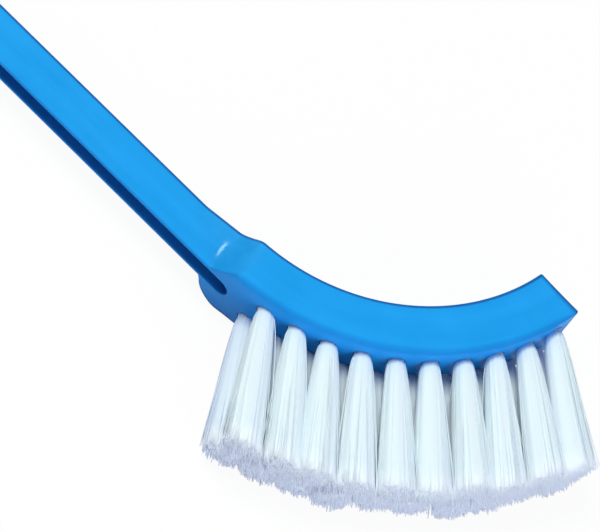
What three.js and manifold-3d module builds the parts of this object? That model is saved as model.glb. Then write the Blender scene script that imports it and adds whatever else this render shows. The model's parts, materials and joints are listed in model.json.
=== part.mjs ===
// Curved toilet brush: a one-piece moulded handle and block, tufted on its convex face.
// Sizes are in millimetres. The brush lies on its side: X runs along the handle to the head,
// Y points away from the bristles, and Z is up, across the width of the block.
// While it is modelled, the bend's centre is at X = 0, Y = 0 and the middle plane is at Z = 0.
import * as THREE from "three";
import { mergeVertices } from "three/addons/utils/BufferGeometryUtils.js";
import Module from "manifold-3d";

// Driving dimensions of the moulded body
const FACE_RADIUS = 82.5; // convex tuft face of the block
const BODY_HEIGHT = 14.2; // back to tuft face, on the handle and where the bend starts
const TOE_HEIGHT = 16; // back to tuft face at the toe
const TOE_SETBACK = 2; // how far the square toe leans back from the tuft face to the back
const BLOCK_WIDTH = 28;
const HANDLE_LENGTH = 275; // from the start of the bend to the end of the handle
const HANDLE_DEPTH = 9.2;
const HEEL_LEAD = 5.7; // how far before the bend the round heel starts on the tuft face
const HEEL_ROUND = 9.5; // length of the round heel
const FLARE_LENGTH = 22; // stretch over which the back of the handle widens, up to the heel's end
const FLARE_TAPER = 0.55; // share of that widening that is an even taper
const SWELL_START = 0.58; // share of the flare after which the rest of the widening swells out
const EDGE_CHAMFER = 0.8;
const CHANNEL_WALL = 1.2;
const CHANNEL_WEB = 3.2; // solid back left above the channel
const CHANNEL_RUNOUT = 4.5; // how far the channel runs into the heel of the block
const CHANNEL_TO_HOLE = 8; // solid left between the channel and the hang hole
const HANG_HOLE_DIAMETER = 7.5;
const HANG_HOLE_INSET = 9; // hole centre to the end of the handle

// Driving dimensions of the tufts
const SECTION_COLUMNS = { heel: 2, mid_heel: 3, mid_toe: 3, toe: 2 }; // two rows in each
const TUFT_PITCH = 10.4; // along the tuft face
const ROW_SPACING = 11.4;
const COLUMN_LAND = 1.2; // bare face along the head between the holes of two neighbouring columns
const HEEL_MARGIN = 15.1; // start of the bend to the first column, along the face
const TOE_MARGIN = 9.3; // last column to the square toe
const TUFT_HOLE_DIAMETER = 5.8;
const TUFT_HOLE_DEPTH = 9;
const BRISTLE_LENGTH = 41.5; // tuft face to the trimmed tips
const TUFT_DIRECTION = 42; // degrees, middle tufts, from the handle's downward normal
const TUFT_FAN = 0.24; // degrees that a tuft turns for each degree along the bend
const STRAND_RINGS = [1, 6, 13]; // strands on each ring of a tuft, from its middle out
const STRAND_TIP_RADIUS = 0.7;
const STRAND_FILL = 0.84; // share of the room beside its neighbours that a strand's root takes
const STRAND_GAP = 0.5; // least room between neighbouring tufts at their tips
const TIP_RAGGEDNESS = 1.4; // spread of the trimmed lengths

// Driving dimensions of the backing slices and the anchor staples
const SLICE_THICKNESS = 1.7;
const SLICE_RIM = 2; // slice left beyond the outer holes
const STAPLE_LENGTH = 7.4; // across the hole, so both ends bite into the block
const STAPLE_HEIGHT = 1.8;
const STAPLE_THICKNESS = 0.4;
const CLEARANCE = 0.3;

// Values that follow from the driving dimensions
const TUFT_COLUMNS = Object.values(SECTION_COLUMNS).reduce((sum, columns) => sum + columns);
const BACK_RADIUS = FACE_RADIUS - BODY_HEIGHT; // back of the handle, from the bend's centre
const HEEL_END = HEEL_ROUND - HEEL_LEAD;
const FLARE_START = HEEL_END - FLARE_LENGTH;
const TIP_RADIUS = FACE_RADIUS + BRISTLE_LENGTH;
const HEAD_LENGTH = HEEL_MARGIN + (TUFT_COLUMNS - 1) * TUFT_PITCH + TOE_MARGIN;
const MID_ANGLE = HEAD_LENGTH / 2 / FACE_RADIUS;
const HOLE_RADIUS = TUFT_HOLE_DIAMETER / 2;
const PLUG_RADIUS = HOLE_RADIUS - CLEARANCE;
const PLUG_DEPTH = TUFT_HOLE_DEPTH - CLEARANCE;
const SLICE_HALF_WIDTH = ROW_SPACING / 2 + HOLE_RADIUS + SLICE_RIM;
const STAPLE_SLOT = STAPLE_THICKNESS + 2 * CLEARANCE;
// In each column the lower row is set back towards the heel, as far as the land leaves room.
const ROW_STAGGER = TUFT_PITCH - TUFT_HOLE_DIAMETER - COLUMN_LAND;
const ROWS = {
  lower: { z: -ROW_SPACING / 2, shift: -ROW_STAGGER / 2 },
  upper: { z: ROW_SPACING / 2, shift: ROW_STAGGER / 2 },
};
const GOLDEN_SHARE = (Math.sqrt(5) - 1) / 2; // spreads turns and lengths with no pattern

// Facet counts
const HOLE_SIDES = 12;
const STRAND_SIDES = 3;
const ARC_STEP = 6; // millimetres along the face
const FLARE_STEPS = 6;
const HEEL_STEPS = 8;
const END_STEPS = 6;
const CHANNEL_END_STEPS = 8;
const OVERSHOOT = 1; // how far a cutter passes the surface that it opens

const plastic = new THREE.MeshStandardMaterial({ color: 0x2aa2ee, roughness: 0.35, metalness: 0 });
const filament = new THREE.MeshStandardMaterial({ color: 0xeaf3f8, roughness: 0.5, metalness: 0 });
const wire = new THREE.MeshStandardMaterial({ color: 0xb9bdc2, roughness: 0.35, metalness: 1 });

const wasm = await Module();
wasm.setup();

// A closed geometry as a solid that can be joined and cut.
function solid(geometry) {
  const bare = geometry.clone();
  bare.deleteAttribute("normal");
  bare.deleteAttribute("uv");
  const merged = mergeVertices(bare, 1e-4);
  return new wasm.Manifold(
    new wasm.Mesh({
      numProp: 3,
      vertProperties: merged.attributes.position.array,
      triVerts: new Uint32Array(merged.index.array),
    }),
  );
}

function geometryOf(made) {
  const mesh = made.getMesh();
  return new THREE.BufferGeometry()
    .setAttribute("position", new THREE.BufferAttribute(mesh.vertProperties, 3))
    .setIndex(new THREE.BufferAttribute(mesh.triVerts, 1));
}

// A skin over rings of points, each ring a convex loop of the same count, with both ends capped.
function loft(rings) {
  const count = rings[0].length;
  const points = rings.flat();
  const faces = [];
  for (let ring = 0; ring + 1 < rings.length; ring++) {
    for (let i = 0; i < count; i++) {
      const a = ring * count + i;
      const b = ring * count + ((i + 1) % count);
      faces.push(a, b, b + count, a, b + count, a + count);
    }
  }
  const last = (rings.length - 1) * count;
  for (let i = 1; i + 1 < count; i++) {
    faces.push(0, i + 1, i);
    faces.push(last, last + i, last + i + 1);
  }
  return new THREE.BufferGeometry().setFromPoints(points).setIndex(faces);
}

// A point of the bent body: the station runs along the tuft face, straight before 0 and round
// the bend after it.
function onBody(station, radius, z) {
  const angle = Math.max(station, 0) / FACE_RADIUS;
  const x = Math.min(station, 0) + radius * Math.sin(angle);
  return new THREE.Vector3(x, -radius * Math.cos(angle), z);
}

// A ring around the body, wider or narrower on the back than on the tuft face, with its four
// corners cut off. Its back may stand back along the body.
function bodyRing(station, inner, outer, backHalf, faceHalf, chamfer, setback = 0) {
  const corners = [
    [inner, -backHalf + chamfer],
    [inner, backHalf - chamfer],
    [inner + chamfer, backHalf],
    [outer - chamfer, faceHalf],
    [outer, faceHalf - chamfer],
    [outer, -faceHalf + chamfer],
    [outer - chamfer, -faceHalf],
    [inner + chamfer, -backHalf],
  ];
  return corners.map(([radius, z]) => {
    const lean = (setback * (outer - radius)) / (outer - inner);
    return onBody(station - lean, radius, z);
  });
}

// Half the width along the tuft face, where the heel is a quarter round.
function faceHalfWidth(station) {
  const run = THREE.MathUtils.clamp((station + HEEL_LEAD) / HEEL_ROUND, 0, 1);
  return THREE.MathUtils.lerp(HANDLE_DEPTH, BLOCK_WIDTH, Math.sqrt(1 - (1 - run) ** 2)) / 2;
}

// Half the width along the back, which tapers out evenly and swells at the end.
function backHalfWidth(station) {
  const run = THREE.MathUtils.clamp((station - FLARE_START) / FLARE_LENGTH, 0, 1);
  const swell = THREE.MathUtils.smoothstep(run, SWELL_START, 1);
  const share = FLARE_TAPER * run + (1 - FLARE_TAPER) * swell;
  return THREE.MathUtils.lerp(HANDLE_DEPTH, BLOCK_WIDTH, share) / 2;
}

function bodyHeight(station) {
  return THREE.MathUtils.lerp(BODY_HEIGHT, TOE_HEIGHT, Math.max(station, 0) / HEAD_LENGTH);
}

function arcStations(from, to) {
  const steps = Math.ceil((to - from) / ARC_STEP);
  return Array.from({ length: steps + 1 }, (_, i) => from + ((to - from) * i) / steps);
}

// Handle and block in one: a round end, a straight stem, the widening shoulder and the bend.
function bodyBlank() {
  const rings = [];
  const middle = BACK_RADIUS + BODY_HEIGHT / 2;
  const endRadius = BODY_HEIGHT / 2;
  for (let i = 1; i < END_STEPS; i++) {
    const turn = (Math.PI / 2) * (i / END_STEPS);
    const reach = endRadius * Math.sin(turn);
    const station = -HANDLE_LENGTH + endRadius * (1 - Math.cos(turn));
    const chamfer = Math.min(EDGE_CHAMFER, reach / 2);
    const half = HANDLE_DEPTH / 2;
    rings.push(bodyRing(station, middle - reach, middle + reach, half, half, chamfer));
  }
  const flare = Array.from({ length: FLARE_STEPS }, (_, i) => i / FLARE_STEPS);
  const heel = Array.from({ length: HEEL_STEPS }, (_, i) => (Math.PI / 2) * (i / HEEL_STEPS));
  const stations = [
    -HANDLE_LENGTH + endRadius,
    ...flare.map((share) => THREE.MathUtils.lerp(FLARE_START, -HEEL_LEAD, share)),
    ...heel.map((turn) => -HEEL_LEAD + HEEL_ROUND * (1 - Math.cos(turn))),
    ...arcStations(HEEL_END, HEAD_LENGTH),
  ];
  for (const station of stations) {
    const inner = FACE_RADIUS - bodyHeight(station);
    const setback = station === stations.at(-1) ? TOE_SETBACK : 0;
    const halves = [backHalfWidth(station), faceHalfWidth(station)];
    rings.push(bodyRing(station, inner, FACE_RADIUS, ...halves, EDGE_CHAMFER, setback));
  }
  return solid(loft(rings));
}

// The slot that hollows the handle from its bristle side, with round ends.
function channelCutter() {
  const half = HANDLE_DEPTH / 2 - CHANNEL_WALL;
  const start = -HANDLE_LENGTH + HANG_HOLE_INSET + HANG_HOLE_DIAMETER / 2 + CHANNEL_TO_HOLE + half;
  const outline = new THREE.Shape();
  outline.absarc(CHANNEL_RUNOUT - half, 0, half, -Math.PI / 2, Math.PI / 2);
  outline.absarc(start, 0, half, Math.PI / 2, (3 * Math.PI) / 2);
  const depth = BODY_HEIGHT - CHANNEL_WEB + OVERSHOOT;
  const options = { depth, bevelEnabled: false, curveSegments: CHANNEL_END_STEPS };
  const cutter = new THREE.ExtrudeGeometry(outline, options);
  return cutter.rotateX(Math.PI / 2).translate(0, -BACK_RADIUS - CHANNEL_WEB, 0);
}

function hangHoleCutter() {
  const radius = HANG_HOLE_DIAMETER / 2;
  const length = HANDLE_DEPTH + 2 * OVERSHOOT;
  const cutter = new THREE.CylinderGeometry(radius, radius, length, 2 * HOLE_SIDES);
  const middle = BACK_RADIUS + BODY_HEIGHT / 2;
  return cutter.rotateX(Math.PI / 2).translate(-HANDLE_LENGTH + HANG_HOLE_INSET, -middle, 0);
}

function tuftStation(column, row) {
  return HEEL_MARGIN + column * TUFT_PITCH + ROWS[row].shift;
}

// The way that a tuft points. The holes are drilled along it, so the tufts stand nearly parallel
// and lean against the face towards both ends of the head.
function tuftHeading(column, row) {
  const fan = TUFT_FAN * (tuftStation(column, row) / FACE_RADIUS - MID_ANGLE);
  return THREE.MathUtils.degToRad(TUFT_DIRECTION) + fan;
}

function tuftRoot(column, row) {
  return onBody(tuftStation(column, row), FACE_RADIUS, ROWS[row].z);
}

// Where a tuft stands: local Y is its axis, pointing out of the block, at a depth below the face.
function tuftFrame(column, row, depth) {
  const heading = tuftHeading(column, row);
  const side = new THREE.Vector3(Math.cos(heading), Math.sin(heading), 0);
  const axis = new THREE.Vector3(Math.sin(heading), -Math.cos(heading), 0);
  const across = new THREE.Vector3().crossVectors(side, axis);
  const place = tuftRoot(column, row).addScaledVector(axis, -depth);
  return new THREE.Matrix4().makeBasis(side, axis, across).setPosition(place);
}

// A round peg on a tuft's axis, between two depths.
function tuftPeg(column, row, radius, top, floor) {
  const peg = new THREE.CylinderGeometry(radius, radius, floor - top, HOLE_SIDES);
  return solid(peg.applyMatrix4(tuftFrame(column, row, (top + floor) / 2)));
}

// A flat bar across a tuft's hole, between two depths.
function tuftBar(column, row, thickness, length, top, floor) {
  const bar = new THREE.BoxGeometry(thickness, floor - top, length);
  return solid(bar.applyMatrix4(tuftFrame(column, row, (top + floor) / 2)));
}

function columnEdge(column) {
  return HEEL_MARGIN + (column - 0.5) * TUFT_PITCH;
}

// A curved plate under the tuft face, with one flat for each column and its two ends moved out.
function facePlate(firstColumn, columns, inner, outer, halfWidth, endShift) {
  const edges = Array.from({ length: columns + 1 }, (_, i) => columnEdge(firstColumn + i));
  edges[0] -= endShift;
  edges[columns] += endShift;
  const corners = [
    [inner, -halfWidth],
    [inner, halfWidth],
    [outer, halfWidth],
    [outer, -halfWidth],
  ];
  const ring = (station) => corners.map(([radius, z]) => onBody(station, radius, z));
  return solid(loft(edges.map(ring)));
}

// The body: its blank less the channel, the hang hole, the seat of the slices and the tuft holes.
function brushBody() {
  const seatRadius = FACE_RADIUS - SLICE_THICKNESS - CLEARANCE;
  const notchTop = PLUG_DEPTH - STAPLE_HEIGHT - CLEARANCE;
  const seatHalf = SLICE_HALF_WIDTH + CLEARANCE;
  let body = bodyBlank().subtract(solid(channelCutter())).subtract(solid(hangHoleCutter()));
  const seatTop = FACE_RADIUS + OVERSHOOT;
  body = body.subtract(facePlate(0, TUFT_COLUMNS, seatRadius, seatTop, seatHalf, CLEARANCE / 2));
  for (let column = 0; column < TUFT_COLUMNS; column++) {
    for (const row of Object.keys(ROWS)) {
      const hole = tuftPeg(column, row, HOLE_RADIUS, -HOLE_RADIUS, TUFT_HOLE_DEPTH);
      const bite = STAPLE_LENGTH + 2 * CLEARANCE;
      const notch = tuftBar(column, row, STAPLE_SLOT, bite, notchTop, TUFT_HOLE_DEPTH);
      body = body.subtract(hole).subtract(notch);
    }
  }
  return geometryOf(body);
}

// How far a straight strand runs from a point of the face until it meets the trimming radius.
function lengthToRadius(from, direction, radius) {
  const along = from.x * direction.x + from.y * direction.y;
  const flat = direction.x ** 2 + direction.y ** 2;
  const left = from.x ** 2 + from.y ** 2 - radius ** 2;
  return (-along + Math.sqrt(along ** 2 - flat * left)) / flat;
}

// The root places of one tuft's strands, as shares of the tuft's own radius. Each tuft is turned
// a little against the next, as hand-fed bundles are.
function strandPlaces(column) {
  const outermost = STRAND_RINGS.length - 1;
  return STRAND_RINGS.flatMap((count, ring) =>
    Array.from({ length: count }, (_, i) => {
      const turn = (2 * Math.PI * i) / count + GOLDEN_SHARE * (ring + column);
      return new THREE.Vector2(Math.cos(turn), Math.sin(turn)).multiplyScalar(ring / outermost);
    }),
  );
}

// One tuft's strands. Each runs straight from the slanted mouth of the hole to the tip ellipse by
// the same widening, so no two cross, and each is trimmed at its own length near the tip radius.
function tuftStrands(column, row) {
  const room = STRAND_FILL * Math.sin(Math.PI / STRAND_RINGS.at(-1));
  const rootReach = PLUG_RADIUS / (1 + room);
  const rootRadius = room * rootReach;
  const endLean = MID_ANGLE * (1 - TUFT_FAN);
  const tipReachAlong = (TUFT_PITCH * Math.cos(endLean) - STRAND_GAP) / 2 - STRAND_TIP_RADIUS;
  const tipReachAcross = (ROW_SPACING - STRAND_GAP) / 2 - STRAND_TIP_RADIUS;

  const angle = tuftStation(column, row) / FACE_RADIUS;
  const heading = tuftHeading(column, row);
  const axis = new THREE.Vector3(Math.sin(heading), -Math.cos(heading), 0);
  const side = new THREE.Vector3(Math.cos(heading), Math.sin(heading), 0);
  const alongFace = new THREE.Vector3(Math.cos(angle), Math.sin(angle), 0);
  const mouthReach = rootReach / Math.cos(heading - angle);
  const root = tuftRoot(column, row);
  const reach = lengthToRadius(root, axis, TIP_RADIUS);

  return strandPlaces(column).map((place, index) => {
    const start = root.clone().addScaledVector(alongFace, place.x * mouthReach);
    start.z += place.y * rootReach;
    const end = root.clone().addScaledVector(axis, reach);
    end.addScaledVector(side, place.x * tipReachAlong);
    end.z += place.y * tipReachAcross;
    const direction = end.sub(start).normalize();
    const shift = ((GOLDEN_SHARE * (index + column)) % 1) - 0.5;
    const length = lengthToRadius(start, direction, TIP_RADIUS + shift * TIP_RAGGEDNESS);
    start.addScaledVector(direction, -SLICE_THICKNESS / 2);
    return strandRings(start, direction, length + SLICE_THICKNESS / 2, rootRadius);
  });
}

// A strand's root and tip rings, square to its own direction.
function strandRings(start, direction, length, rootRadius) {
  const across = new THREE.Vector3(0, 0, 1).cross(direction).normalize();
  const other = new THREE.Vector3().crossVectors(direction, across);
  return [0, 1].map((share) =>
    Array.from({ length: STRAND_SIDES }, (_, i) => {
      const turn = (2 * Math.PI * i) / STRAND_SIDES + GOLDEN_SHARE;
      const radius = THREE.MathUtils.lerp(rootRadius, STRAND_TIP_RADIUS, share);
      return start
        .clone()
        .addScaledVector(direction, length * share)
        .addScaledVector(across, radius * Math.cos(turn))
        .addScaledVector(other, radius * Math.sin(turn));
    }),
  );
}

// A stretch of tufts: their slice of the face, the folded roots that fill the holes astride
// their staples, and the strands.
function tuftSection(firstColumn, columns) {
  const sliceInner = FACE_RADIUS - SLICE_THICKNESS;
  const slotTop = PLUG_DEPTH - STAPLE_HEIGHT - CLEARANCE;
  const endShift = -CLEARANCE / 2;
  let section = facePlate(firstColumn, columns, sliceInner, FACE_RADIUS, SLICE_HALF_WIDTH, endShift);
  for (let column = firstColumn; column < firstColumn + columns; column++) {
    for (const row of Object.keys(ROWS)) {
      const plug = tuftPeg(column, row, PLUG_RADIUS, SLICE_THICKNESS, PLUG_DEPTH);
      const slotFloor = PLUG_DEPTH + OVERSHOOT;
      const slot = tuftBar(column, row, STAPLE_SLOT, TUFT_HOLE_DIAMETER, slotTop, slotFloor);
      section = section.add(plug.subtract(slot));
      for (const rings of tuftStrands(column, row)) section = section.add(solid(loft(rings)));
    }
  }
  return geometryOf(section);
}

function addMesh(parent, name, geometry, material) {
  const mesh = new THREE.Mesh(geometry, material);
  mesh.name = name;
  parent.add(mesh);
  return mesh;
}

const design = new THREE.Group();
addMesh(design, "brush_body", brushBody(), plastic);

let nextColumn = 0;
for (const [section, columns] of Object.entries(SECTION_COLUMNS)) {
  addMesh(design, `tufts_${section}`, tuftSection(nextColumn, columns), filament);
  nextColumn += columns;
}

const stapleShape = new THREE.BoxGeometry(STAPLE_THICKNESS, STAPLE_HEIGHT, STAPLE_LENGTH);
const stapleDepth = PLUG_DEPTH - STAPLE_HEIGHT / 2;
for (let column = 0; column < TUFT_COLUMNS; column++) {
  for (const row of Object.keys(ROWS)) {
    const number = String(column + 1).padStart(2, "0");
    const staple = addMesh(design, `staple_${row}_${number}`, stapleShape, wire);
    staple.applyMatrix4(tuftFrame(column, row, stapleDepth));
  }
}

// The finished frame: the origin is under the middle of the brush, on what it lies on.
const box = new THREE.Box3().setFromObject(design, true);
const middle = box.getCenter(new THREE.Vector3());
design.position.set(-middle.x, -middle.y, -box.min.z);

const brush = new THREE.Group();
brush.add(design);
export default brush;
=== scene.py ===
# %% [markdown]
# # A curved toilet brush
# The brush is one blue moulding, a long channelled handle that bends into a tufted block, with two rows
# of white bristle tufts held by wire staples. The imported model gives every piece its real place, so this
# lesson only builds finer surfaces around it and gives them their finish.

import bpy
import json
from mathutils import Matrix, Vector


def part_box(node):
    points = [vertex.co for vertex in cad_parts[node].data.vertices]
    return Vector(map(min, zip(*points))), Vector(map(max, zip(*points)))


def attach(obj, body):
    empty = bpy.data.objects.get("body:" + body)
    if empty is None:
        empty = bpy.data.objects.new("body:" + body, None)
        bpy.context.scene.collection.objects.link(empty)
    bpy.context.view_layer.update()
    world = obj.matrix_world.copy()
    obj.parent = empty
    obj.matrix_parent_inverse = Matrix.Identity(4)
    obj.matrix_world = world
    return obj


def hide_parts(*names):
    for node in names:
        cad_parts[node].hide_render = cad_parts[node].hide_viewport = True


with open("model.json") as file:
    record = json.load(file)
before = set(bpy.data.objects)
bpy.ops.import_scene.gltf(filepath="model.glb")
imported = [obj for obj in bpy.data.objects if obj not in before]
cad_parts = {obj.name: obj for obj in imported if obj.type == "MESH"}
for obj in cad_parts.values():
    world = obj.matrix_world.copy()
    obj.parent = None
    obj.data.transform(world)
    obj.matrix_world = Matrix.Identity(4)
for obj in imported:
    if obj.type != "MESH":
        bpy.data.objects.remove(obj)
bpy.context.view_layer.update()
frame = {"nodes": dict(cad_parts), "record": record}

# %% [markdown]
# ## Sizes from the frame
# A finer surface has to sit exactly where the plain solid sits. Where the brush lies, how wide it is and
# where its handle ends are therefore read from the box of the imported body. Only what a box can't show,
# the radius of the bend, the length of the head and the heights, is written again, all in metres.

# %% Sizes of the body
import json
import math
from types import SimpleNamespace

import bmesh
import bpy
import numpy as np
from mathutils import Quaternion, Vector

MM = 0.001
FACE_RADIUS = 82.5 * MM  # the convex tuft face of the block
HEAD_LENGTH = 118.0 * MM  # along the tuft face, from the start of the bend to the square toe
BODY_HEIGHT = 14.2 * MM  # back to tuft face, on the handle and where the bend starts
TOE_HEIGHT = 16.0 * MM  # back to tuft face at the toe
TOE_SETBACK = 2.0 * MM  # how far the toe leans back from the tuft face to the back

body_low, body_high = (np.array(corner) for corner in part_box("brush_body"))
HEAD_SWEEP = HEAD_LENGTH / FACE_RADIUS
BEND_X = body_high[0] - FACE_RADIUS * math.sin(HEAD_SWEEP)
BEND_Y = body_low[1] + FACE_RADIUS
BLOCK_HALF = (body_high[2] - body_low[2]) / 2
MIDDLE_Z = (body_high[2] + body_low[2]) / 2
HANDLE_END = body_low[0] - BEND_X
print("bend's centre", round(BEND_X, 5), round(BEND_Y, 5), "handle's end", round(HANDLE_END, 5))

# %% [markdown]
# ## Camera
# The picture looks down on the brush as it lies on its side, from the bristle side, with the camera
# rolled so that the handle runs up to the left. A camera can be aimed with a constraint or by its own
# rotation. Its own rotation is used here, because the roll is then one number.

# %% Camera
BEND_CENTRE = Vector((BEND_X, BEND_Y, 0.0))
CAMERA_PLACE = BEND_CENTRE + Vector((112.61, -376.64, 649.19)) * MM
CAMERA_TARGET = BEND_CENTRE + Vector((13.04, -58.88, 14.0)) * MM
CAMERA_ROLL = math.radians(28.795)
LENS = 144.0  # millimetres, on a sensor 36 mm wide

camera = bpy.data.objects.new("camera", bpy.data.cameras.new("camera"))
camera.data.lens = LENS
camera.data.sensor_width = 36.0
camera.data.sensor_fit = "HORIZONTAL"
camera.rotation_mode = "QUATERNION"
camera.location = CAMERA_PLACE
aim = (CAMERA_TARGET - CAMERA_PLACE).to_track_quat("-Z", "Y")
camera.rotation_quaternion = aim @ Quaternion((0, 0, 1), CAMERA_ROLL)
scene = bpy.context.scene
scene.collection.objects.link(camera)
scene.camera = camera
scene.view_settings.view_transform = "Standard"
print("camera", round((CAMERA_TARGET - CAMERA_PLACE).length, 3), "m from the head")

# %% [markdown]
# ## Node helpers
# Every finish below is a small graph of shader nodes. A few helpers keep the graphs short. One adds a
# node and fills its inputs, either with a plain value or with a link, and one starts a material. The
# others add the kinds of node that come up again and again: blends, ranges and noise.

# %% Node helpers
NOISE_SPAN = (0.3, 0.7)  # where most values of a noise lie


def add_node(tree, kind, inputs=None, **settings):
    """Adds a shader node. An input takes a link where its value is a socket, else the value itself."""
    node = tree.nodes.new("ShaderNode" + kind)
    for name, value in settings.items():
        setattr(node, name, value)
    for key, value in (inputs or {}).items():
        if isinstance(value, bpy.types.NodeSocket):
            tree.links.new(value, node.inputs[key])
        else:
            node.inputs[key].default_value = value
    return node


def new_material(name):
    """An empty node material with one Principled shader, and its tree and shader."""
    material = bpy.data.materials.new(name)
    material.use_nodes = True
    tree = material.node_tree
    tree.nodes.clear()
    shader = add_node(tree, "BsdfPrincipled")
    add_node(tree, "OutputMaterial", {"Surface": shader.outputs["BSDF"]})
    return material, tree, shader


def mix_colours(tree, share, first, second):
    """Blends two colours: the first where the share is 0, the second where it is 1."""
    mix = add_node(tree, "Mix", {0: share, 6: first, 7: second}, data_type="RGBA")
    return mix.outputs[2]


def spread(tree, value, low, high, to_low, to_high):
    """Stretches the part of a value between low and high over a new range, and clamps the rest."""
    inputs = {0: value, 1: low, 2: high, 3: to_low, 4: to_high}
    return add_node(tree, "MapRange", inputs).outputs[0]


def combine(tree, operation, first, second):
    """Joins two values into one, for instance by MULTIPLY or MAXIMUM."""
    return add_node(tree, "Math", {0: first, 1: second}, operation=operation).outputs[0]


def noise(tree, place, scale, detail):
    """A cloudy value for each place. A scale of three numbers draws the clouds out into streaks."""
    if isinstance(scale, tuple):
        place = add_node(tree, "Mapping", {"Vector": place, "Scale": scale}).outputs[0]
        scale = 1.0
    inputs = {"Vector": place, "Scale": scale, "Detail": detail}
    return add_node(tree, "TexNoise", inputs).outputs["Fac"]


def seen_directly(tree):
    """1 for the rays that look straight at a surface, or see it in gloss or through glass."""
    path = add_node(tree, "LightPath").outputs
    looked_at = combine(tree, "MAXIMUM", path["Is Camera Ray"], path["Is Glossy Ray"])
    return combine(tree, "MAXIMUM", looked_at, path["Is Transmission Ray"])


print("node helpers, with noise spread from", NOISE_SPAN)

# %% [markdown]
# ## Floor, sky and lamps
# The brush lies on a plain white floor that runs on into a white background. A floor that is only lit
# never reaches white without too much light on the brush, so part of what the camera sees of it glows
# evenly, and the rest is lit and keeps the soft shadow. One warm lamp above lights the brush from the
# side that is turned up, so its underside and its channel fall dark. A cool one beside the toe lifts the
# cut tips, and a dim blue sky fills the shade between the tufts. Broad lamps would mirror themselves in
# the shoulder, so these two give no gloss, and a third lamp gives nothing but the one glint there.

# %% Floor and sky
FLOOR_HALF = 4.0
FLOOR_DROP = 0.1 * MM  # a hair below the resting face, so the two never fight
FLOOR_GLOW = 0.94  # share of the floor that shows as plain white
FLOOR_WHITE = (0.9, 0.9, 0.9, 1)
FLOOR_BOUNCE = (0.4, 0.42, 0.52, 1)  # what the floor sends back onto the brush
SKY_LIGHT = 0.38
SKY_TINT = (0.62, 0.7, 1.0, 1)  # a cool fill, as from a white tent in daylight


def make_floor():
    """A square plane whose shader blends a lit white with an even glow for the rays that see it."""
    corners = np.array([(-1, -1), (1, -1), (1, 1), (-1, 1)]) * FLOOR_HALF
    points = np.column_stack([corners, np.full(4, -FLOOR_DROP)])
    mesh = bpy.data.meshes.new("floor")
    mesh.from_pydata(points, [], [(0, 1, 2, 3)])
    floor = bpy.data.objects.new("floor", mesh)
    scene.collection.objects.link(floor)
    material, tree, shader = new_material("white_floor")
    seen = seen_directly(tree)
    tree.links.new(mix_colours(tree, seen, FLOOR_BOUNCE, FLOOR_WHITE), shader.inputs["Base Color"])
    shader.inputs["Roughness"].default_value = 0.9
    shader.inputs["Specular IOR Level"].default_value = 0.0
    glow = add_node(tree, "Emission")
    share = combine(tree, "MULTIPLY", seen, FLOOR_GLOW)
    mix = add_node(tree, "MixShader", {0: share, 1: shader.outputs[0], 2: glow.outputs[0]})
    output = next(node for node in tree.nodes if node.type == "OUTPUT_MATERIAL")
    tree.links.new(mix.outputs[0], output.inputs["Surface"])
    mesh.materials.append(material)
    return floor


def make_sky():
    """A white world: full strength where it is seen, dimmer and cool where it only lights the brush."""
    world = bpy.data.worlds.new("white_sky")
    world.use_nodes = True
    tree = world.node_tree
    tree.nodes.clear()
    seen = seen_directly(tree)
    strength = spread(tree, seen, 0.0, 1.0, SKY_LIGHT, 1.0)
    colour = mix_colours(tree, seen, SKY_TINT, (1, 1, 1, 1))
    sky = add_node(tree, "Background", {"Color": colour, "Strength": strength})
    add_node(tree, "OutputWorld", {"Surface": sky.outputs[0]})
    return world


make_floor()
scene.world = make_sky()
print("floor", 2 * FLOOR_HALF, "m wide, sky light", SKY_LIGHT)

# %% Lamps
LAMP_AIM = CAMERA_TARGET


def add_lamp(name, direction, distance, size, level, colour):
    """A square area lamp aimed at the head. Its power gives the wanted level on a surface that faces it.

    A square lamp of power P sends P / (pi * distance squared) onto a surface, and a white surface turns
    that into a brightness of a pi-th of it, so the power is level * pi squared * distance squared.
    """
    lamp = bpy.data.objects.new(name, bpy.data.lights.new(name, "AREA"))
    lamp.data.size = size
    lamp.data.color = colour
    lamp.data.energy = level * (math.pi * distance) ** 2
    toward = Vector(direction).normalized()
    lamp.location = LAMP_AIM + toward * distance
    lamp.rotation_mode = "QUATERNION"
    lamp.rotation_quaternion = toward.to_track_quat("Z", "Y")
    scene.collection.objects.link(lamp)
    print(name, "at", tuple(round(value, 2) for value in lamp.location), round(lamp.data.energy, 2), "W")
    return lamp


key_lamp = add_lamp(
    "key_lamp", direction=(-0.34, 0.03, 0.94), distance=1.3,
    size=0.45, level=0.73, colour=(0.96, 1.0, 0.77),
)
fill_lamp = add_lamp(
    "fill_lamp", direction=(0.78, -0.54, 0.33), distance=0.9,
    size=0.45, level=0.48, colour=(0.84, 0.87, 0.93),
)
glint_lamp = add_lamp(
    "glint_lamp", direction=(-0.71, 0.01, 0.7), distance=1.2,
    size=0.25, level=0.5, colour=(0.7, 1.0, 1.0),
)
key_lamp.visible_glossy = False
fill_lamp.visible_glossy = False
glint_lamp.visible_diffuse = False

# %% [markdown]
# ## A flat pattern that is bent
# Handle and block are one bar: straight along the handle, then bent round in an arc. Modelling it in
# space would mean bending every edge and hole by hand. It is easier to lay the bar out flat, with a
# station along it, a depth below the tuft face and a place across it, and to bend the finished pattern
# with one formula.

# %% Bend and unbend
def bend(station, depth, across):
    """Carries the flat pattern into space.

    Before station 0 the bar is straight. After it, a station turns by station / FACE_RADIUS round the
    bend's centre, at a radius of FACE_RADIUS less the depth.
    """
    turn = np.maximum(station, 0) / FACE_RADIUS
    radius = FACE_RADIUS - depth
    x = BEND_X + np.minimum(station, 0) + radius * np.sin(turn)
    y = BEND_Y - radius * np.cos(turn)
    return np.stack(np.broadcast_arrays(x, y, MIDDLE_Z + across), axis=-1)


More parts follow.
